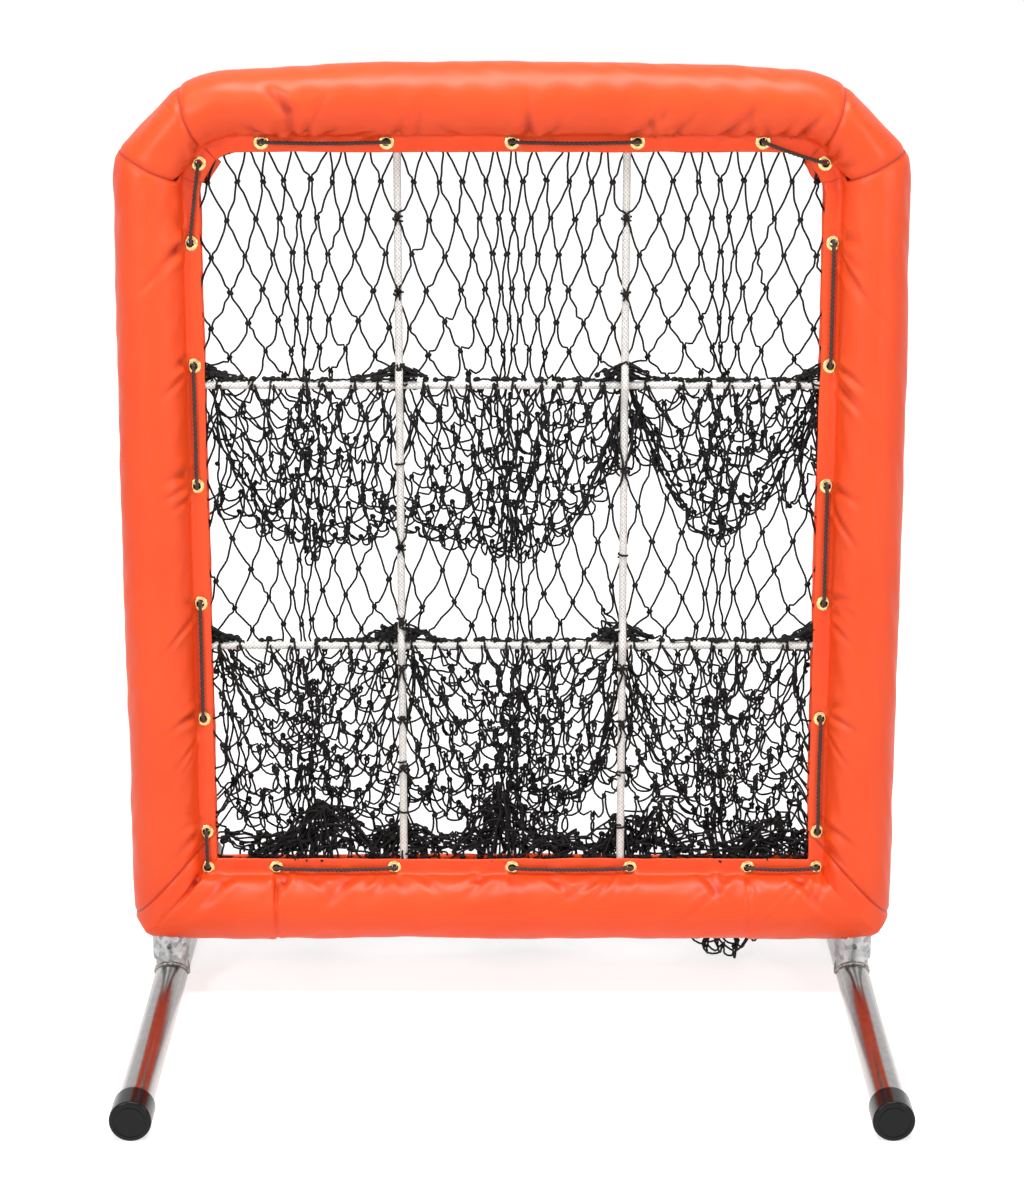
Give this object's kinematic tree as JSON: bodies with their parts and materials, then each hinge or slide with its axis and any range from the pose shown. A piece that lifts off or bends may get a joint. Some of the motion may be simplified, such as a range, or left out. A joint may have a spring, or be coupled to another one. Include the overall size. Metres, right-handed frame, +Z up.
{
  "type": "pocketed throwing target net",
  "caption": "Upright padded tube frame on two plug-in feet, divided by white ropes into a grid of black net pockets that catch thrown balls.",
  "frame": {"origin": "on the ground, midway between the two uprights, in the plane of the frame", "axes": "+X along the frame, towards the right upright; +Y from the front to the back, where the bags hang; +Z up"},
  "size_m": [0.981, 0.92, 1.204],
  "materials": {
    "galvanised_steel": "hot-dip zinc coat, satin, faintly mottled",
    "foam": "closed-cell foam tube",
    "orange_vinyl": "vinyl-coated fabric, smooth, soft gloss",
    "brass": "rolled eyelet, polished",
    "lacing": "dark twisted cord",
    "white_rope": "solid braid, off-white",
    "black_net": "knotted black twine",
    "weld_bead": "grey weld bead",
    "black_cap": "moulded vinyl cap, glossy",
    "dark_screw": "black oxide"
  },
  "bodies": {
    "frame": {"hoop_tube": "galvanised_steel", "bottom_rail": "galvanised_steel", "foam_left": "foam", "foam_right": "foam", "foam_top": "foam", "foam_bottom": "foam", "foam_corner_left": "foam", "foam_corner_right": "foam", "cover_left": "orange_vinyl", "cover_right": "orange_vinyl", "cover_top": "orange_vinyl", "cover_bottom": "orange_vinyl", "gusset_left": "orange_vinyl", "gusset_right": "orange_vinyl", "front_grommets": "brass", "rear_grommets": "brass", "lacing_cord": "lacing", "rope_vertical_left": "white_rope", "rope_vertical_right": "white_rope", "rope_horizontal_upper": "white_rope", "rope_horizontal_lower": "white_rope", "rope_ties": "white_rope", "net_top_left": "black_net", "net_top_centre": "black_net", "net_top_right": "black_net", "net_middle_left": "black_net", "net_middle_centre": "black_net", "net_middle_right": "black_net", "net_bottom_left": "black_net", "net_bottom_centre": "black_net", "net_bottom_right": "black_net"},
    "left_foot": {"left_foot_tube": "galvanised_steel", "left_stub": "galvanised_steel", "left_weld": "weld_bead", "left_front_cap": "black_cap", "left_rear_cap": "black_cap"},
    "right_foot": {"right_foot_tube": "galvanised_steel", "right_stub": "galvanised_steel", "right_weld": "weld_bead", "right_front_cap": "black_cap", "right_rear_cap": "black_cap"},
    "left_screw": {"left_lock_screw": "dark_screw"},
    "right_screw": {"right_lock_screw": "dark_screw"}
  },
  "joints": [
    {"name": "left_foot_slide", "type": "slide", "parent": "frame", "child": "left_foot", "axis": [0, 0, -1], "range_m": [0, 0.15]},
    {"name": "right_foot_slide", "type": "slide", "parent": "frame", "child": "right_foot", "axis": [0, 0, -1], "range_m": [0, 0.15]},
    {"name": "left_screw_out", "type": "slide", "parent": "frame", "child": "left_screw", "axis": [0, -1, 0], "range_m": [0, 0.0015]},
    {"name": "right_screw_out", "type": "slide", "parent": "frame", "child": "right_screw", "axis": [0, -1, 0], "range_m": [0, 0.0015]}
  ]
}
